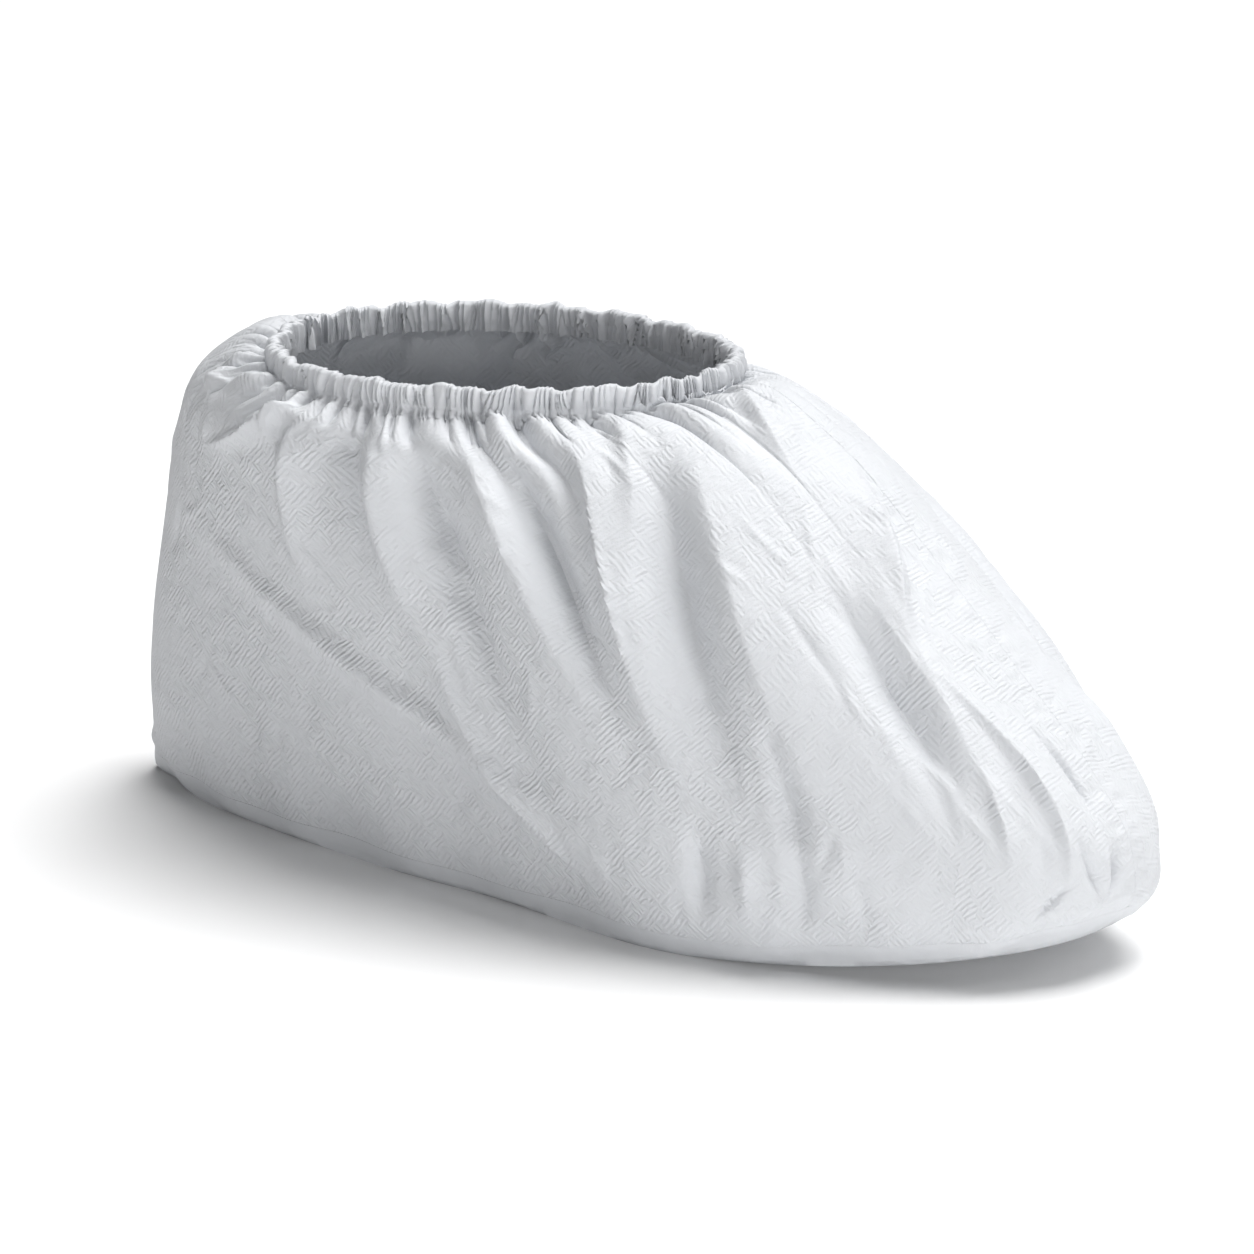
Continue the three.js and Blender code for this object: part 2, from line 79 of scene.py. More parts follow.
# A row for each fold: the levels of its top, its peak and its foot, its places along the cover at
# the top, halfway and at the foot (0 is the heel, 1 the toe), how far it rises, how wide it is
# behind and ahead, and how crisp it is, from 0, a roll, to 1, a crease.
fold_columns = ("top", "peak", "foot", "along0", "along1", "along2", "rise", "behind", "ahead",
                "crisp")
outer_folds = [dict(zip(fold_columns, row)) for row in [
    # heel shoulder pleats, each lapping over the one behind it
    [0.00, 0.09, 0.16, 0.375, 0.362, 0.330, 4.0, 3, 16, 0.8],
    [0.01, 0.15, 0.29, 0.315, 0.338, 0.215, 5.2, 4, 17, 0.8],
    [0.02, 0.10, 0.22, 0.130, 0.195, 0.260, 2.8, 6, 6, 0.9],
    [0.00, 0.07, 0.18, 0.250, 0.235, 0.150, 2.8, 4, 12, 0.7],
    # folds that fall from the casing over the quarter
    [0.02, 0.22, 0.54, 0.420, 0.380, 0.375, 6.2, 8, 16, 0.6],
    [0.02, 0.18, 0.50, 0.455, 0.448, 0.450, -5.0, 7, 12, 0.6],
    [0.03, 0.26, 0.60, 0.505, 0.473, 0.478, 6.4, 11, 12, 0.5],
    [0.04, 0.34, 0.80, 0.543, 0.518, 0.548, -8.6, 10, 18, 0.8],
    [0.04, 0.30, 0.66, 0.590, 0.587, 0.611, 6.4, 12, 11, 0.7],
    [0.05, 0.30, 0.68, 0.628, 0.617, 0.622, -7.6, 9, 9, 0.75],
    [0.04, 0.30, 0.78, 0.715, 0.652, 0.650, 7.4, 7, 16, 0.95],
    [0.02, 0.13, 0.36, 0.790, 0.724, 0.672, 3.8, 6, 10, 0.9],
    [0.02, 0.10, 0.20, 1.000, 0.929, 0.905, 3.0, 4, 7, 0.9],
    [0.07, 0.12, 0.18, 1.000, 0.958, 0.915, 2.4, 7, 8, 0.8],
    # the broad valley and the flat plane beside the instep
    [0.05, 0.38, 0.80, 0.790, 0.703, 0.678, -6.8, 15, 11, 0.4],
    [0.06, 0.42, 0.84, 0.827, 0.745, 0.752, 8.4, 15, 40, 0.6],
    [0.54, 0.70, 0.85, 0.727, 0.713, 0.700, -4.2, 6, 8, 0.7],
    [0.33, 0.54, 0.75, 0.846, 0.848, 0.830, -6.8, 10, 9, 0.75],
    [0.33, 0.52, 0.74, 0.898, 0.888, 0.862, 2.8, 7, 12, 0.6],
    [0.16, 0.34, 0.50, 1.010, 0.938, 0.870, 6.4, 18, 5, 0.95],
    # toe creases beside the seam
    [0.45, 0.70, 0.92, 0.884, 0.928, 0.902, 3.6, 3, 13, 0.9],
    [0.60, 0.73, 0.84, 0.884, 0.874, 0.858, 2.6, 3, 7, 0.95],
    [0.57, 0.68, 0.79, 0.955, 0.974, 0.968, -1.8, 2.5, 2, 0.9],
    [0.79, 0.87, 0.94, 0.985, 0.978, 0.962, -3.6, 3, 4, 0.9],
    [0.76, 0.86, 0.93, 0.935, 0.945, 0.962, -2.8, 3, 4, 0.9],
    [0.85, 0.895, 0.94, 0.925, 0.893, 0.868, -2.4, 3, 4, 0.9],
    # long soft roll from the heel down to the ball, and the wrinkles over the ball
    [0.38, 0.64, 0.90, 0.180, 0.440, 0.575, 3.4, 24, 16, 0.3],
    [0.46, 0.69, 0.89, 0.482, 0.497, 0.562, 4.2, 13, 7, 0.8],
    [0.70, 0.83, 0.93, 0.648, 0.637, 0.630, -4.2, 4, 9, 0.9],
    [0.74, 0.82, 0.93, 0.672, 0.668, 0.660, 3.0, 6, 6, 0.8],
    [0.76, 0.84, 0.94, 0.705, 0.700, 0.700, -3.2, 5, 7, 0.8],
    # the pinch low on the heel
    [0.88, 0.925, 0.95, 0.045, 0.050, 0.055, 2.4, 8, 10, 0.7],
]]
inner_folds = [dict(zip(fold_columns, row)) for row in [
    # heel shoulder pleats
    [0.03, 0.14, 0.30, 0.34, 0.25, 0.13, 3.6, 5, 15, 0.6],
    [0.03, 0.12, 0.24, 0.22, 0.15, 0.07, 2.6, 6, 10, 0.5],
    # folds that fall from the casing over the quarter
    [0.05, 0.25, 0.56, 0.36, 0.33, 0.36, 3.6, 11, 9, 0.5],
    [0.06, 0.28, 0.60, 0.40, 0.38, 0.41, -3.4, 9, 9, 0.2],
    [0.05, 0.28, 0.62, 0.44, 0.44, 0.49, 4.1, 11, 10, 0.5],
    [0.06, 0.24, 0.50, 0.49, 0.50, 0.53, -3.1, 9, 9, 0.3],
    [0.04, 0.22, 0.44, 0.545, 0.55, 0.585, 3.6, 9, 9, 0.7],
    [0.05, 0.20, 0.42, 0.59, 0.61, 0.635, -2.6, 8, 8, 0.4],
    # the long crease over the waist and the valley before it
    [0.28, 0.46, 0.94, 0.62, 0.665, 0.70, 4.6, 10, 15, 0.8],
    [0.22, 0.50, 0.84, 0.68, 0.715, 0.735, -4.1, 12, 12, 0.3],
    [0.04, 0.22, 0.42, 0.655, 0.665, 0.66, 3.1, 10, 9, 0.7],
    # the instep roll, its valley and the toe creases beside the seam
    [0.04, 0.44, 0.84, 0.76, 0.81, 0.84, 4.1, 12, 14, 0.5],
    [0.10, 0.46, 0.78, 0.83, 0.865, 0.88, -3.8, 10, 10, 0.3],
    [0.50, 0.66, 0.90, 0.91, 0.93, 0.90, 3.1, 5, 12, 0.7],
    # soft roll from the heel, and the wrinkles over the ball
    [0.40, 0.60, 0.88, 0.05, 0.32, 0.52, 2.9, 24, 22, 0.2],
    [0.70, 0.80, 0.93, 0.775, 0.785, 0.79, -2.4, 7, 8, 0.5],
    [0.34, 0.40, 0.48, 0.50, 0.60, 0.68, 2.2, 14, 14, 0.8],
]]


def ease(u):
    """A smooth step: 0 up to u = 0, and 1 from u = 1."""
    u = np.clip(u, 0, 1)
    return u * u * (3 - 2 * u)


def ring_value(name, level):
    """A smooth curve through one column of the ring table."""
    at, value = rings["level"], rings[name]
    spans = np.diff(at)
    slope = np.diff(value) / spans
    middle = (slope[:-1] * spans[1:] + slope[1:] * spans[:-1]) / (spans[:-1] + spans[1:])
    tangent = np.concatenate(([slope[0]], middle, [slope[-1]]))
    row = np.clip(np.searchsorted(at, level, side="right") - 1, 0, len(spans) - 1)
    span = spans[row]
    u = (level - at[row]) / span
    return ((2 * u**3 - 3 * u**2 + 1) * value[row] + (u**3 - 2 * u**2 + u) * span * tangent[row]
            + (3 * u**2 - 2 * u**3) * value[row + 1] + (u**3 - u**2) * span * tangent[row + 1])


def form(side, along, level):
    """The smooth form without folds."""
    ring = {name: ring_value(name, level) for name in ring_columns[1:]}
    angle = math.pi * along
    share = (1 - np.cos(angle)) / 2
    x = ring["back"] + (ring["front"] - ring["back"]) * share
    half_width = (ring["heel"]
                  + (ring["waist"] - ring["heel"]) * ease((share - waist_start) / waist_run)
                  + (ring["ball"] - ring["waist"]) * ease((share - ball_start) / ball_run))
    slimness = inner_slimness if side == inner else 1
    x = x + (tuck_back - x) * (np.exp(-((1 - level) / (1 - tuck_top)) ** tuck_edge)
                               * np.exp(-(along / tuck_width) ** tuck_edge))
    lean = toe_lean * np.clip((x - toe_lean_start) / (length - toe_lean_start),
                              0, 1) ** toe_lean_power
    lift = (toe_lift * level**2
            * np.clip((x - toe_lift_start) / (length - toe_lift_start), 0, 1) ** 2)
    y = side * (half_width * slimness * np.sin(angle) ** ring["round"] + seam_gap / 2)
    z = (ring["back_z"] + (ring["front_z"] - ring["back_z"]) * share
         - ring["dip"] * np.sin(angle) + lift)
    return np.stack(np.broadcast_arrays(x - length / 2, y + lean - centre_y, z), -1)


def form_normal(side, along, level):
    """Outward normal of the smooth form, and its stretch in millimetres per unit of along."""
    step = 0.001
    behind, ahead = np.maximum(along - step, 0), np.minimum(along + step, 1)
    above, below = np.maximum(level - step, 0), np.minimum(level + step, 1)
    tangent = (form(side, ahead, level) - form(side, behind, level)) / (ahead - behind)[..., None]
    stretch = np.linalg.norm(tangent, axis=-1)
    # at both ends the form crosses the middle plane at right angles
    tangent = np.where((behind == 0)[..., None], [0, side, 0], tangent)
    tangent = np.where((ahead == 1)[..., None], [0, -side, 0], tangent)
    normal = np.cross(tangent, form(side, along, below) - form(side, along, above)) * side
    return normal / np.linalg.norm(normal, axis=-1, keepdims=True), stretch


fold_edge = 1.6  # powers that draw the flanks of a crisp fold and of a wrinkle to an edge
wrinkle_edge = 1.3


def fold_height(fold, along, level, stretch):
    """The height of one fold; its line is a parabola through its three places."""
    run = np.where(level < fold["peak"],
                   (level - fold["top"]) / (fold["peak"] - fold["top"]),
                   (fold["foot"] - level) / (fold["foot"] - fold["peak"]))
    down = (level - fold["top"]) / (fold["foot"] - fold["top"])
    line = (fold["along0"] * (1 - down) * (1 - 2 * down) + fold["along1"] * 4 * down * (1 - down)
            + fold["along2"] * down * (2 * down - 1))
    offset = (along - line) * stretch
    flank = np.where(offset < 0, fold["behind"], fold["ahead"])
    near = 1 - np.minimum(np.abs(offset) / flank, 1)
    profile = (1 - fold["crisp"]) * ease(near) + fold["crisp"] * near**fold_edge
    return fold["rise"] * ease(run) * profile


def wrinkle(rng):
    """A short shallow wrinkle somewhere on a panel, leaning by its drift, a ridge or a groove."""
    return {"along": rng.uniform(0.08, 0.97), "level": rng.uniform(0.12, 0.9),
            "half": rng.uniform(0.03, 0.12), "drift": rng.normal(0, 0.25),
            "width": rng.uniform(1.8, 4.5), "rise": rng.choice((-1, 1)) * rng.uniform(0.3, 1.0)}


def wrinkle_height(one, along, level, stretch):
    """The height of one wrinkle, straight and sharp, which dies out at both its ends."""
    up = level - one["level"]
    offset = (along - one["along"] - one["drift"] * up) * stretch
    near = np.clip(1 - np.abs(offset) / one["width"], 0, 1)
    return one["rise"] * near**wrinkle_edge * ease(1 - np.abs(up) / one["half"])


# The elastic draws the cloth up in pleats of three sizes on each side: how many there are, how
# deep, and how far down they reach. Their widths, depths and reaches vary by these shares.
fine_pleats = 120
pleat_sizes = ((fine_pleats, 1.6, 0.02), (34, 4.0, 0.055), (17, 6.0, 0.14))
width_shares, depth_shares, reach_shares = (0.35, 1.65), (0.35, 1.45), (0.6, 1.6)
pleat_fullness, pleat_middle = 0.7, 0.6  # how round a crown is, and the height of its middle
held_share, free_level = 0.45, 0.03  # the casing holds the larger ones in, above this level
front_flatness, front_start, front_run = 0.7, 0.66, 0.12  # the largest flatten to the front
deepest_gather = -2.6


def pleat_row(rng, count, depth, reach):
    """Uneven pleats: their edges from 0 to 1, their depths and how far down they reach."""
    widths = rng.uniform(*width_shares, count)
    edges = np.concatenate(([0], np.cumsum(widths))) / widths.sum()
    depths = depth * rng.uniform(*depth_shares, count)
    return edges, depths, reach * rng.uniform(*reach_shares, count)


def pleats(along, level, row):
    """Rounded pleats with narrow gaps between them; each dies out at its own level."""
    edges, depths, reaches = row
    phase = np.interp(along, edges, np.arange(len(edges)))
    which = np.clip(phase.astype(int), 0, len(edges) - 2)
    crown = np.abs(np.sin(math.pi * phase)) ** pleat_fullness - pleat_middle
    return depths[which] * crown * np.exp(-(level / reaches[which]) ** 2)


wrinkle_count = 96
gathers = {}
wrinkles = {}
for side, seed in ((outer, 11), (inner, 23)):
    rng = np.random.default_rng(seed)
    gathers[side] = [pleat_row(rng, *size) for size in pleat_sizes]
    wrinkles[side] = [wrinkle(rng) for _ in range(wrinkle_count)]


def gather_height(side, along, level):
    """The stitches hold the larger pleats down at the casing, and they bulge just below it."""
    fine, small, large = [pleats(along, level, row) for row in gathers[side]]
    large = large * (1 - front_flatness * ease((along - front_start) / front_run))
    freed = held_share + (1 - held_share) * ease(level / free_level)
    return np.maximum(fine + (small + large) * freed, deepest_gather)


def waves(u, table, side):
    """A sum of waves along u: for each its height, its rate, and its shift with the side."""
    return sum(height * np.sin(rate * u + shift * side) for height, rate, shift in table)


sole_fade, seam_fade = 0.06, 7  # folds die out towards the sole and beside the seams
pucker_height, pucker_rate = 0.3, 200  # close puckers beside the instep seam,
pucker_drift = ((2, 23, 0),)  # unevenly spaced,
pucker_waves = ((0.2, 113, 2),)  # on slower ones,
pucker_width, pucker_start = 5, 2  # in a band this wide that starts this far from the seam
slack_height, slack_waves = 0.7, ((1, 33, 1), (0.7, 71, 2))  # the loose cloth low on a panel
slack_start, slack_run, slack_seam_fade = 0.8, 0.12, 12


def cloth(side, along, level):
    """The panel's outer face with its folds, and the outward direction of the smooth form."""
    normal, stretch = form_normal(side, along, level)
    folds = outer_folds if side == outer else inner_folds
    height = sum(fold_height(fold, along, level, stretch) for fold in folds)
    height = height + sum(wrinkle_height(one, along, level, stretch) for one in wrinkles[side])
    to_front = (1 - along) * stretch
    to_seam = np.minimum(along * stretch, to_front)
    rise = (height * ease((sole_level - level) / sole_fade)
            + gather_height(side, along, level)) * ease(to_seam / seam_fade)
    drift = waves(level, pucker_drift, side)
    pucker = (pucker_height * np.sin(pucker_rate * level + drift + side)
              + waves(level, pucker_waves, side))
    rise += pucker * np.exp(-((to_front / pucker_width) ** 2)) * ease(to_front / pucker_start)
    slack = slack_height * waves(along, slack_waves, side)
    rise += slack * ease((level - slack_start) / slack_run) * ease(to_seam / slack_seam_fade)
    return form(side, along, level) + normal * rise[..., None], normal


def grid_normals(points, outward):
    """Unit normals of a grid of points, on the side that outward points to."""
    normal = np.cross(np.gradient(points, axis=1), np.gradient(points, axis=0))
    normal *= np.sign((normal * outward).sum())
    return normal / np.maximum(np.linalg.norm(normal, axis=-1, keepdims=True), 1e-9)


def arc_lengths(points, axis):
    """How far each point of a grid is from its first one, along the cloth."""
    steps = np.linalg.norm(np.diff(points, axis=axis), axis=-1)
    return np.insert(np.cumsum(steps, axis=axis), 0, 0, axis)


net_steps = (8, 20)  # rows and columns between the threads of the net that is laid flat
start_wrap, start_height = 0.75, 1.2  # how the side view is spread before the net is relaxed
net_rounds, net_pull = 1200, 0.12  # a knot moves by this share of what its threads ask


def laid_flat(points):
    """Where each point of a smooth grid lay on the flat cloth. A coarse net is laid out from
    the side view, then its threads and diagonals take their real lengths."""
    run, x = arc_lengths(points, 1), points[..., 0]
    middle = points.shape[1] // 2
    wrap = run - run[:, middle, None] - x + x[:, middle, None]
    knots = tuple(slice(None, None, step) for step in net_steps)
    net = points[knots]
    flat = np.stack((x + start_wrap * wrap, -start_height * points[..., 2]), -1)[knots]
    every, first, last = slice(None), slice(None, -1), slice(1, None)
    threads = [((every, first), (every, last)), ((first, every), (last, every)),
               ((first, first), (last, last)), ((first, last), (last, first))]
    lengths = [np.linalg.norm(net[end] - net[start], axis=-1) for start, end in threads]
    for _ in range(net_rounds):
        pull = np.zeros_like(flat)
        for (start, end), wanted in zip(threads, lengths):
            gap = flat[end] - flat[start]
            gap *= (1 - wanted / np.linalg.norm(gap, axis=-1))[..., None]
            pull[start] += gap
            pull[end] -= gap
        flat += net_pull * pull
    down, across = (np.maximum(1 - np.abs(np.arange(count)[:, None] / step - np.arange(knot)), 0)
                    for count, step, knot in zip(points.shape, net_steps, flat.shape))
    return np.stack([down @ flat[..., i] @ across.T for i in (0, 1)], -1)


sharp_angle = math.radians(65)  # an edge that turns by more is shaded as a sharp one


class Shell:
    """Gathers the vertices and faces of one closed piece, then makes its object."""

    def __init__(self):
        self.points, self.uvs, self.faces, self.count = [], [], [], 0

    def add(self, points, uvs):
        """Adds a grid of vertices and returns their numbers."""
        ids = self.count + np.arange(points[..., 0].size).reshape(points.shape[:-1])
        self.points.append(points.reshape(-1, 3))
        self.uvs.append(uvs.reshape(-1, 2))
        self.count += ids.size
        return ids

    def fill(self, ids):
        """Faces all over a grid of vertices."""
        corners = (ids[:-1, :-1], ids[1:, :-1], ids[1:, 1:], ids[:-1, 1:])
        self.faces += np.stack([corner.ravel() for corner in corners], -1).tolist()

    def join(self, fine, coarse):
        """A strip of faces between an edge and one with half as many steps."""
        self.faces += np.stack((fine[:-1:2], fine[1::2], fine[2::2], coarse[1:], coarse[:-1]),
                               -1).tolist()

    def finish(self, name, material):
        """The piece as an object in metres, with its cloth laid out in its UV map."""
        mesh = bpy.data.meshes.new(name)
        mesh.from_pydata((np.concatenate(self.points) * mm).tolist(), [], self.faces)
        shape = bmesh.new()
        shape.from_mesh(mesh)
        bmesh.ops.recalc_face_normals(shape, faces=shape.faces)
        shape.to_mesh(mesh)
        shape.free()
        corners = np.empty(len(mesh.loops), int)
        mesh.loops.foreach_get("vertex_index", corners)
        layer = mesh.uv_layers.new(name="cloth")
        layer.data.foreach_set("uv", (np.concatenate(self.uvs)[corners] * mm).ravel())
        mesh.shade_smooth()
        mesh.set_sharp_from_angle(angle=sharp_angle)
        mesh.materials.append(material)
        piece = bpy.data.objects.new(name, mesh)
        bpy.context.scene.collection.objects.link(piece)
        return piece


def places_along(count, crowding):
    """Places from 0 to 1, which crowding draws closer together at both ends."""
    u = np.linspace(0, 1, count + 1)
    return u - crowding * np.sin(2 * math.pi * u) / (2 * math.pi)


fine_rows, rows = 16, 144
columns, column_crowding = 840, 0.35
fine_reach = 0.075  # above this level there are twice as many columns, for the gathers
hidden_edge = ((1.2, 2.6), (0.35, 1.2))  # how far in and up the top edge goes inside the casing
turn = 0.18  # radius at which the cloth turns in at a seam
allowance, allowance_shares = 5.0, (0.2, 0.45, 0.7, 1.0)  # its depth, and where its points lie


def side_panel(side, name, material):
    """A closed shell: the outer face, turned in at its seams and its top, and a coarser lining."""
    levels = np.concatenate((np.linspace(0, fine_reach, fine_rows, endpoint=False),
                             np.linspace(fine_reach, sole_level, rows + 1)))
    along, level = np.meshgrid(places_along(columns, column_crowding), levels)
    points, normal = cloth(side, along, level)
    run = arc_lengths(points, 1)
    close = np.clip(1 - np.minimum(run, run[:, -1:] - run) / turn, 0, 1)
    points -= normal * (turn * (1 - np.sqrt(1 - close**2)))[..., None]
    # the seam allowances go straight in from the heel seam and the instep seam
    depths = allowance * np.array(allowance_shares)[:, None]
    points = np.concatenate((points[:, :1] - normal[:, :1] * depths[::-1], points,
                             points[:, -1:] - normal[:, -1:] * depths), 1)
    outward = np.pad(normal, ((0, 0), (len(depths), len(depths)), (0, 0)), mode="edge")
    # the top edge goes up inside the casing
    sideways = outward[0] * [1, 1, 0]
    sideways /= np.linalg.norm(sideways, axis=-1, keepdims=True)
    tucked = [points[0] - sideways * inwards + [0, 0, up] for inwards, up in hidden_edge]
    points = np.concatenate((tucked, points))
    outward = np.pad(outward, ((len(hidden_edge), 0), (0, 0), (0, 0)), mode="edge")
    uvs = np.pad(laid_flat(form(side, along, level)),
                 ((len(hidden_edge), 0), (len(depths), len(depths)), (0, 0)), "reflect",
                 reflect_type="odd")
    inside = points - grid_normals(points, outward) * cloth_thickness
    shell = Shell()
    split = fine_rows + len(hidden_edge)
    fine = shell.add(points[:split + 1], uvs[:split + 1])
    coarse = shell.add(points[split + 1:, ::2], uvs[split + 1:, ::2])
    fine_inside = shell.add(inside[:split + 1:2, ::2], uvs[:split + 1:2, ::2])
    coarse_inside = shell.add(inside[split + 2::2, ::4], uvs[split + 2::2, ::4])
    for upper, lower in ((fine, coarse), (fine_inside, coarse_inside)):
        shell.fill(upper)
        shell.join(upper[-1], lower[0])
        shell.fill(lower)
    shell.join(fine[0], fine_inside[0])
    shell.join(coarse[-1], coarse_inside[-1])
    for end in (0, -1):
        shell.join(np.concatenate((fine[:, end], coarse[:, end])),
                   np.concatenate((fine_inside[:, end], coarse_inside[:, end])))
    return shell.finish(name, material)


class Wire:
    """An output socket in a material, so that maths on it reads as an expression."""

    def __init__(self, tree, socket=None):
        self.tree, self.socket = tree, socket

    def node(self, kind, settings=(), sockets=(), output=0):
        """Adds a node: its settings are set first, then its sockets' values or links."""
        made = self.tree.nodes.new(kind)
        for name, value in dict(settings).items():
            setattr(made, name, value)
        for name, value in dict(sockets).items():
            if isinstance(value, Wire):
                self.tree.links.new(value.socket, made.inputs[name])
            else:
                made.inputs[name].default_value = value
        return Wire(self.tree, made.outputs[output])

    def math(self, operation, *values):
        return self.node("ShaderNodeMath", {"operation": operation}, dict(enumerate(values)))

    def __add__(self, other):
        return self.math("ADD", self, other)

    __radd__ = __add__

    def __mul__(self, other):
        return self.math("MULTIPLY", self, other)

    __rmul__ = __mul__

    def __sub__(self, other):
        return self.math("SUBTRACT", self, other)

    def __rsub__(self, other):
        return self.math("SUBTRACT", other, self)


def new_material(name):
    """A material, its surface shader, and a wire to start its nodes from."""
    material = bpy.data.materials.new(name)
    material.use_nodes = True
    tree = material.node_tree
    return material, tree.nodes["Principled BSDF"], Wire(tree)


def noise(tree, at, scale, detail, output="Fac"):
    """Soft random blotches, about as many to the metre as scale says."""
    return tree.node("ShaderNodeTexNoise", {}, {"Vector": at, "Scale": scale, "Detail": detail},
                     output)


cloth_white = (0.655, 0.669, 0.693)
faded = 0.965  # how light the duller patches of the cloth are
emboss_pitch = 1.4 * mm
emboss_wander = 1.8 * mm  # how far the pressed lines stray
emboss_depth = 0.07 * mm
mottle_share = 4.5  # the uneven pressing between them, as a share of their depth
slack_depth = 1.0 * mm
fibre_depth = 0.1 * mm
mix_a, mix_b, mix_color = 6, 7, 2  # a colour Mix node's sockets


def nonwoven(name, roughness, depth):
    """White nonwoven. Slanting lines are pressed into it, depth deep, in patches that slant
    one way or the other; they wander, break off, and fade where the cloth was pulled."""
    material, shader, tree = new_material(name)
    shader.inputs["Roughness"].default_value = roughness
    shader.inputs["Specular IOR Level"].default_value = 0.35
    place = tree.node("ShaderNodeTexCoord", output="Object")
    uv = tree.node("ShaderNodeUVMap", {"uv_map": "cloth"})
    wander = noise(tree, uv, scale=150.0, detail=2.0, output="Color")
    lines_at = tree.node("ShaderNodeVectorMath", {"operation": "MULTIPLY_ADD"},
                         {0: wander, 1: (emboss_wander, emboss_wander, 0), 2: uv})
    turns = math.sqrt(2) * math.pi / emboss_pitch
    slants = [tree.node("ShaderNodeVectorMath", {"operation": "DOT_PRODUCT"},
                        {0: lines_at, 1: (turns, way * turns, 0)}, "Value") for way in (1, -1)]
    patches = noise(tree, uv, scale=170.0, detail=1.0)
    which = tree.node("ShaderNodeMapRange", {},
                      {"Value": patches, "From Min": 0.46, "From Max": 0.50})
    breaks = noise(tree, uv, scale=560.0, detail=0.0)
    unbroken = tree.node("ShaderNodeMapRange", {}, {"Value": breaks, "From Min": 0.34,
                                                    "From Max": 0.5, "To Min": 0.2,
                                                    "To Max": 1.2})
    lines = (tree.math("SINE", slants[0]) * which
             + tree.math("SINE", slants[1]) * (1 - which)) * unbroken
    pulled = noise(tree, place, scale=46.0, detail=4.0)
    shown = tree.node("ShaderNodeMapRange", {"interpolation_type": "SMOOTHSTEP"},
                      {"Value": pulled, "From Min": 0.34, "From Max": 0.64, "To Min": 0.45,
                       "To Max": 1.1})
    fibres = noise(tree, uv, scale=2200.0, detail=3.0)
    mottle = noise(tree, uv, scale=360.0, detail=2.0)
    slack = noise(tree, place, scale=120.0, detail=2.0)
    relief = ((lines + (mottle - 0.5) * mottle_share) * shown * depth
              + (slack - 0.5) * slack_depth + (fibres - 0.5) * fibre_depth)
    bump = tree.node("ShaderNodeBump", {}, {"Strength": 1.0, "Distance": 1.0, "Height": relief})
    material.node_tree.links.new(bump.socket, shader.inputs["Normal"])
    tone = noise(tree, place, scale=60.0, detail=4.0)
    dull = [channel * faded for channel in cloth_white]
    mixed = tree.node("ShaderNodeMix", {"data_type": "RGBA"},
                      {"Factor": tone, mix_a: (*dull, 1), mix_b: (*cloth_white, 1)}, mix_color)
    material.node_tree.links.new(mixed.socket, shader.inputs["Base Color"])
    return material


panel_cloth = nonwoven("panel_cloth", 0.6, emboss_depth)
for side, node in ((outer, "outer_side_panel"), (inner, "inner_side_panel")):
    panel = side_panel(side, node + "_cloth", panel_cloth)
    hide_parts(node)
    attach(panel, "root")

# ---- Sole panel --------------------------------------------------------------------------
# A long oval of the same nonwoven with a smooth water-tight film on it, so it has no embossing.
# Its edge is turned up all round and welded to the side panels a few millimetres off the floor.
sole_columns, sole_crowding = 240, 0.6
lip_top, lip_foot, lip_rows = sole_level + 0.0005, 0.985, 8  # the turned-up edge, by its levels
bottom_rows = 48


def sole_panel(name, material):
    """A closed shell: the lip up the outer side, the flat bottom, the lip up the inner side."""
    along = places_along(sole_columns, sole_crowding)
    halves = []
    for side in (outer, inner):
        wall, _ = cloth(side, *np.meshgrid(along, np.linspace(lip_top, lip_foot, lip_rows)))
        edge = form(side, along, np.full_like(along, 1.0))
        edge[:, 1] -= side * seam_gap / 2
        halves.append((wall, edge))
    (outer_wall, outer_edge), (inner_wall, inner_edge) = halves
    across = np.linspace(0, 1, bottom_rows + 1)[1:-1]
    share = (0.5 - 0.5 * np.cos(math.pi * across))[:, None, None]
    bottom = outer_edge[None] * (1 - share) + inner_edge[None] * share
    points = np.concatenate((outer_wall, bottom, inner_wall[::-1]))
    normals = grid_normals(points, [0, 0, -1])
    points[..., 2] = np.maximum(points[..., 2], 0)
    uvs = points[..., :2].copy()
    shell = Shell()
    face = shell.add(points, uvs)
    lining = shell.add(points - normals * cloth_thickness, uvs)
    shell.fill(face)
    shell.fill(lining)
    for end in (0, -1):
        shell.fill(np.stack((face[end], lining[end])))
    for end in (0, -1):
        shell.fill(np.stack((face[:, end], lining[:, end])))
    return shell.finish(name, material)


sole_cloth = nonwoven("sole_cloth", 0.55, 0.0)
sole = sole_panel("sole_panel_cloth", sole_cloth)
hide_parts("sole_panel")
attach(sole, "root")

# ---- Elastic casing ----------------------------------------------------------------------
# The top edge of the cloth is turned over a narrow elastic and stitched down. The elastic is
# much shorter than the cloth, so the casing stands in small, close, uneven gathers.
casing_height, casing_thickness = 8.0, 3.0
casing_skin = cloth_thickness * 0.8
casing_middle = -1.5  # how far its middle lies inside the panels' top edge
casing_lap = 0.7  # how far its lower edge stands off the panels, which it follows there
casing_drop = 1.5  # how far the loops of its lower edge hang over the panels
casing_columns = 7 * fine_pleats
face_rows, face_crowding, face_swell = 13, 1.25, 0.4
top_rows, top_flatness = 8, 0.8
back_rows, back_foot, back_swell = 5, -0.2, 0.3
stitch_depth, stitch_height, stitch_spread = 0.45, 1.2, 0.6  # the stitching draws the cloth in
follow_height = 3.5  # from here down its face turns from its own oval to the panels
outward_level = 0.1  # the panels' level that gives the casing's outward direction
bend_waves = ((0.006, 29, 1), (0.005, 97, 0), (0.0025, 211, 2))  # how the gathers lean
wobble_waves = ((0.5, 60, 1), (0.35, 137, 0))  # how the top edge goes up and down
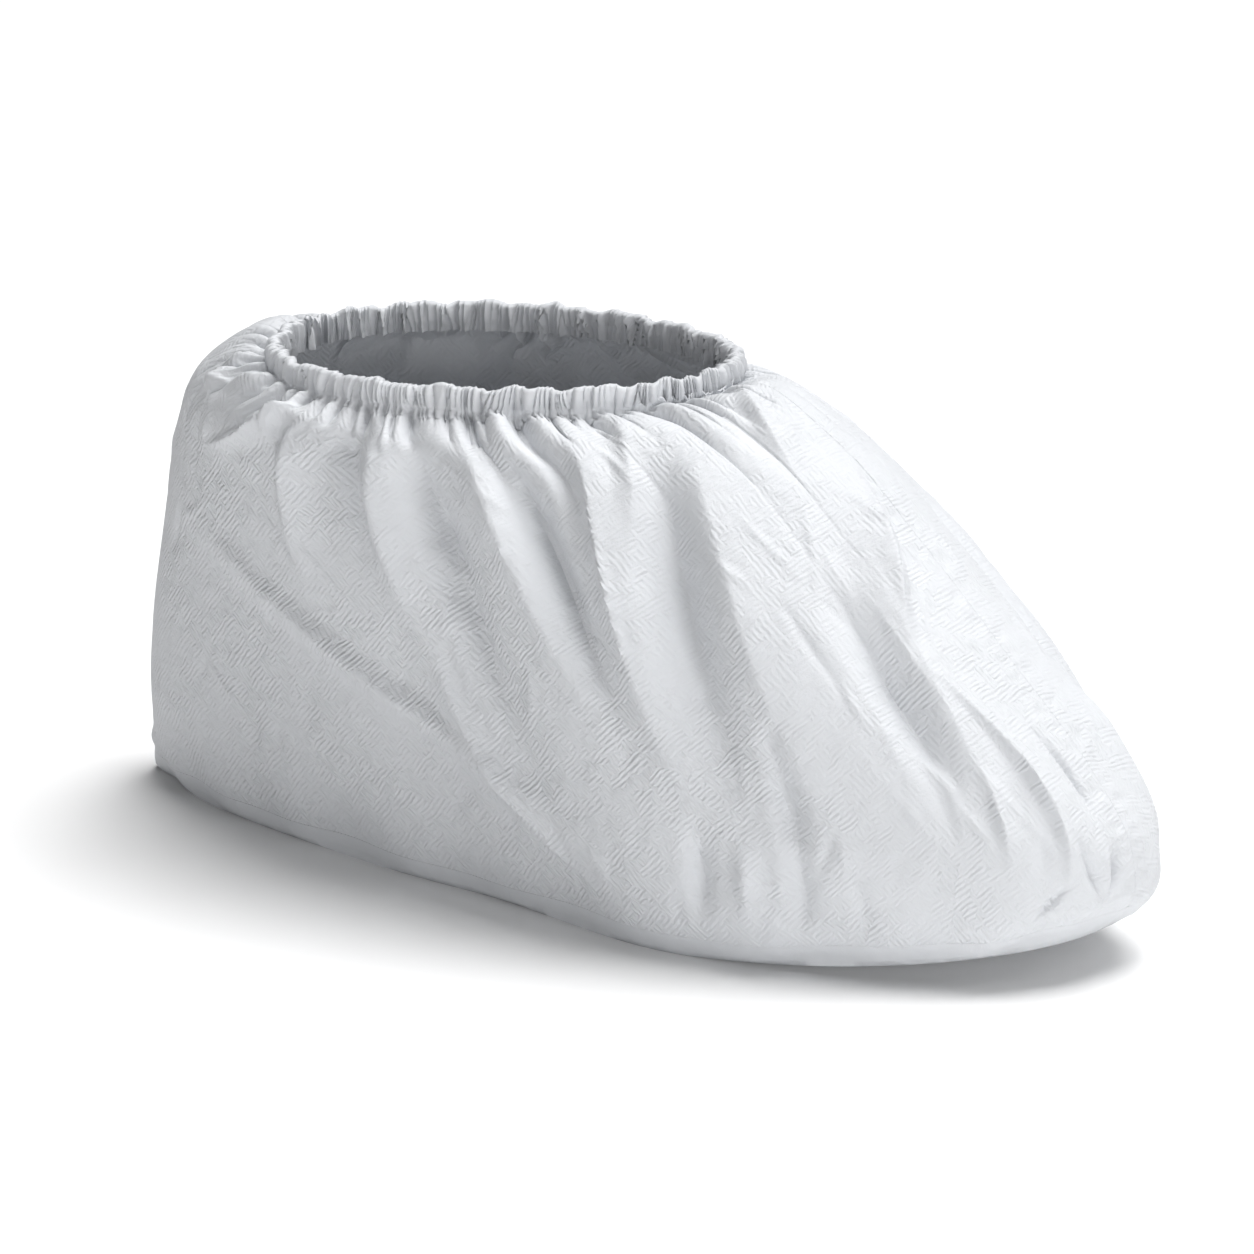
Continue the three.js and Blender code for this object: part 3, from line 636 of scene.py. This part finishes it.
fine_foot = 0.012  # at its foot its fine pleats are as deep as the panels' are at this level
small_share, small_fade = 0.65, 0.4  # how deep the small pleats are in it, and how they fade up
loop_share, loop_height = 0.8, 3  # how deep its lower edge is looped, and how far up
level_per_mm = 0.0075  # the panels' change of level in a millimetre just under the casing


def casing(name, material):
    """A closed ring: one thin cross-section, up its face, over its top and down its back."""
    half = casing_thickness / 2
    turns = np.linspace(0, math.pi, top_rows)
    top = casing_height - half * top_flatness
    rise = ((top + casing_drop) * np.linspace(0, 1, face_rows + 1)[:-1] ** face_crowding
            - casing_drop)
    fall = np.linspace(back_foot, top, back_rows + 1)[:-1][::-1]
    stitched = stitch_depth * np.exp(-(((rise - stitch_height) / stitch_spread) ** 2))
    face = half + face_swell * np.sin(math.pi * rise / casing_height) - stitched
    back = -half - back_swell * np.sin(math.pi * fall / casing_height) ** 2
    path = np.concatenate((
        np.stack((face, rise), -1),
        np.stack((half * np.cos(turns), top + half * top_flatness * np.sin(turns)), -1),
        np.stack((back, fall), -1)))
    tangent = np.gradient(path, axis=0)
    tangent /= np.linalg.norm(tangent, axis=-1, keepdims=True)
    lining = path + np.stack((-tangent[:, 1], tangent[:, 0]), -1) * casing_skin
    follows = np.where(np.arange(len(path)) < len(rise), 1 - ease(path[:, 1] / follow_height), 0)
    out, up = np.concatenate((path, lining[::-1])).T
    follows = np.concatenate((follows, follows[::-1]))[:, None]
    share = np.maximum(up, 0) / casing_height
    halves = []
    # the ring runs to the toe along the outer side, and back along the inner side
    for side, start, stop in ((outer, 0, 1), (inner, 1, 0)):
        along = np.linspace(start, stop, casing_columns + 1)[:-1]
        outward = form_normal(side, along, np.full_like(along, outward_level))[0] * [1, 1, 0]
        outward = (outward / np.linalg.norm(outward, axis=-1, keepdims=True))[:, None]
        foot = form(side, along, 0 * along)
        foot[:, 1] -= side * seam_gap / 2
        at = along[:, None]
        bend = waves(at, bend_waves, side) * share
        fine, small = gathers[side][:2]
        ripple = (pleats(at + bend, fine_foot * (1 - share), fine)
                  + small_share * (1 - small_fade * share) * pleats(at - bend, 0 * share, small))
        wobble = waves(at, wobble_waves, side) * share
        loops = up - (loop_share * pleats(at, 0 * share, fine)
                      * (1 - ease((up + casing_drop) / loop_height)))
        under, _ = cloth(side, at + 0 * share, level_per_mm * np.maximum(-loops, 0))
        band = (foot[:, None] + outward * (out + casing_middle + ripple)[..., None]
                + (up + wobble)[..., None] * [0, 0, 1])
        lap = (under + outward * (out - half + casing_lap)[:, None]
               + np.maximum(loops, 0)[..., None] * [0, 0, 1])
        halves.append(band * (1 - follows) + lap * follows)
    points = np.concatenate(halves)
    uvs = np.stack((arc_lengths(points, 0), arc_lengths(points, 1)), -1)
    shell = Shell()
    ids = shell.add(points, uvs)
    ids = np.concatenate((ids, ids[:1]))
    shell.fill(np.concatenate((ids, ids[:, :1]), 1))
    return shell.finish(name, material)


casing_cloth = nonwoven("casing_cloth", 0.65, 0.0)
collar = casing("elastic_casing", casing_cloth)
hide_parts("elastic_collar")
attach(collar, "root")

# ---- Floor, light and camera -------------------------------------------------------------
# A white studio floor. A large soft light stands above and behind, two small ones on the toe's
# side bring out the folds, and a low wide one in front fills the shadows.
bpy.ops.mesh.primitive_plane_add(size=30)
floor = bpy.context.object
floor.name = "floor"
white, white_shader, _ = new_material("floor_white")
white_shader.inputs["Base Color"].default_value = (0.97, 0.97, 0.97, 1)
white_shader.inputs["Roughness"].default_value = 0.9
white_shader.inputs["Specular IOR Level"].default_value = 0.1
floor.data.materials.append(white)


def aim(made, azimuth, elevation, distance, target):
    """Stands a lamp or the camera off from its target: azimuth 0 faces the outer side and 90
    the toe."""
    turned, raised = math.radians(azimuth), math.radians(elevation)
    towards = np.array([math.sin(turned) * math.cos(raised),
                        -math.cos(turned) * math.cos(raised), math.sin(raised)])
    made.location = target + towards * distance
    made.rotation_euler = (math.pi / 2 - raised, 0, turned)
    bpy.context.scene.collection.objects.link(made)


view_distance, view_width = 2.8, 0.345  # how far off the camera is, and how much it takes in
sensor_width = 36
camera = bpy.data.objects.new("camera", bpy.data.cameras.new("camera"))
camera.data.sensor_width = sensor_width
camera.data.lens = sensor_width * view_distance / view_width
aim(camera, 37, 17, view_distance, np.array([0, 0, 0.070]))
bpy.context.scene.camera = camera

lamp_distance = 3.0
for name, azimuth, elevation, size, power in (
        ("back_key", 165, 74, 2.2, 124),
        ("toe_high", 110, 40, 1.0, 7),
        ("toe_low", 75, 12, 0.7, 26),
        ("low_front", 20, 6, 1.6, 31)):
    light = bpy.data.lights.new(name, "AREA")
    light.size, light.energy = size, power
    aim(bpy.data.objects.new(name, light), azimuth, elevation, lamp_distance, np.zeros(3))
world = bpy.data.worlds.new("studio")
world.use_nodes = True
world.node_tree.nodes["Background"].inputs["Color"].default_value = (1, 1, 1, 1)
world.node_tree.nodes["Background"].inputs["Strength"].default_value = 0.01
bpy.context.scene.world = world
bpy.context.scene.view_settings.view_transform = "Standard"
